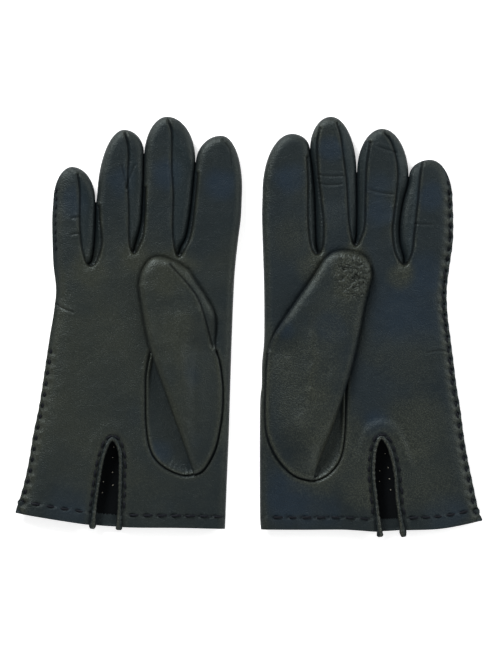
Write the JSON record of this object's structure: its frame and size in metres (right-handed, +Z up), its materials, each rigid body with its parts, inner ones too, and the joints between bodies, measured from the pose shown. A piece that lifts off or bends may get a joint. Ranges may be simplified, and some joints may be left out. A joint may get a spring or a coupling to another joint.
{
  "type": "pair of leather gloves",
  "caption": "Pair of dark leather dress gloves lying palms up, thumbs folded over the palms, with hollow fingers that curl, a bound vent and hand-stitched edges.",
  "frame": {"origin": "on the table, under the middle of the pair's outer box", "axes": "+X across the pair from the right-hand glove to the left-hand glove, +Y from the hems to the fingertips, +Z up out of the palms"},
  "size_m": [0.2698, 0.2434, 0.0174],
  "materials": {
    "glove_leather": "satin",
    "fourchette_leather": "satin",
    "binding_leather": "satin",
    "thread": "matte"
  },
  "bodies": {
    "right_glove": {"right_trank": "glove_leather", "right_thumb_gusset": "fourchette_leather", "right_vent_binding": "binding_leather", "right_hem_stitches": "thread", "right_side_stitches": "thread", "right_vent_stitches": "thread"},
    "right_index_finger": {"right_index_wrap": "glove_leather", "right_index_fourchette": "fourchette_leather"},
    "right_middle_finger": {"right_middle_front": "glove_leather", "right_middle_back": "glove_leather", "right_middle_fourchette_index_side": "fourchette_leather", "right_middle_fourchette_little_side": "fourchette_leather"},
    "right_ring_finger": {"right_ring_front": "glove_leather", "right_ring_back": "glove_leather", "right_ring_fourchette_index_side": "fourchette_leather", "right_ring_fourchette_little_side": "fourchette_leather"},
    "right_little_finger": {"right_little_stitches": "thread", "right_little_front": "glove_leather", "right_little_back": "glove_leather", "right_little_fourchette": "fourchette_leather"},
    "right_thumb": {"right_thumb": "glove_leather"},
    "left_glove": {"left_trank": "glove_leather", "left_thumb_gusset": "fourchette_leather", "left_vent_binding": "binding_leather", "left_hem_stitches": "thread", "left_side_stitches": "thread", "left_vent_stitches": "thread"},
    "left_index_finger": {"left_index_wrap": "glove_leather", "left_index_fourchette": "fourchette_leather"},
    "left_middle_finger": {"left_middle_front": "glove_leather", "left_middle_back": "glove_leather", "left_middle_fourchette_index_side": "fourchette_leather", "left_middle_fourchette_little_side": "fourchette_leather"},
    "left_ring_finger": {"left_ring_front": "glove_leather", "left_ring_back": "glove_leather", "left_ring_fourchette_index_side": "fourchette_leather", "left_ring_fourchette_little_side": "fourchette_leather"},
    "left_little_finger": {"left_little_stitches": "thread", "left_little_front": "glove_leather", "left_little_back": "glove_leather", "left_little_fourchette": "fourchette_leather"},
    "left_thumb": {"left_thumb": "glove_leather"}
  },
  "joints": [
    {"name": "right_index_flex", "type": "hinge", "parent": "right_glove", "child": "right_index_finger", "pos_m": [-0.01878, 0.04992, 0.00475], "axis": [0.999, -0.0454, 0], "range_deg": [0, 90]},
    {"name": "right_middle_flex", "type": "hinge", "parent": "right_glove", "child": "right_middle_finger", "pos_m": [-0.04741, 0.05323, 0.00475], "axis": [0.999, -0.0454, 0], "range_deg": [0, 90]},
    {"name": "right_ring_flex", "type": "hinge", "parent": "right_glove", "child": "right_ring_finger", "pos_m": [-0.07398, 0.05243, 0.00475], "axis": [0.999, -0.0454, 0], "range_deg": [0, 90]},
    {"name": "right_little_flex", "type": "hinge", "parent": "right_glove", "child": "right_little_finger", "pos_m": [-0.10072, 0.04764, 0.00475], "axis": [0.999, -0.0454, 0], "range_deg": [0, 90]},
    {"name": "right_thumb_fold", "type": "hinge", "parent": "right_glove", "child": "right_thumb", "pos_m": [-0.01107, -0.03152, 0.01365], "axis": [0.3696, 0.9292, 0], "range_deg": [0, 150]},
    {"name": "left_index_flex", "type": "hinge", "parent": "left_glove", "child": "left_index_finger", "pos_m": [0.02608, 0.04834, 0.00475], "axis": [1, 0, 0], "range_deg": [0, 90]},
    {"name": "left_middle_flex", "type": "hinge", "parent": "left_glove", "child": "left_middle_finger", "pos_m": [0.05483, 0.05034, 0.00475], "axis": [1, 0, 0], "range_deg": [0, 90]},
    {"name": "left_ring_flex", "type": "hinge", "parent": "left_glove", "child": "left_ring_finger", "pos_m": [0.08133, 0.04834, 0.00475], "axis": [1, 0, 0], "range_deg": [0, 90]},
    {"name": "left_little_flex", "type": "hinge", "parent": "left_glove", "child": "left_little_finger", "pos_m": [0.10783, 0.04234, 0.00475], "axis": [1, 0, 0], "range_deg": [0, 90]},
    {"name": "left_thumb_fold", "type": "hinge", "parent": "left_glove", "child": "left_thumb", "pos_m": [0.01467, -0.03268, 0.01365], "axis": [0.3271, -0.945, 0], "range_deg": [0, 150]},
    {"name": "left_glove_lift", "type": "slide", "parent": "right_glove", "child": "left_glove", "axis": [0, 0, 1], "range_m": [0, 0.25]}
  ]
}
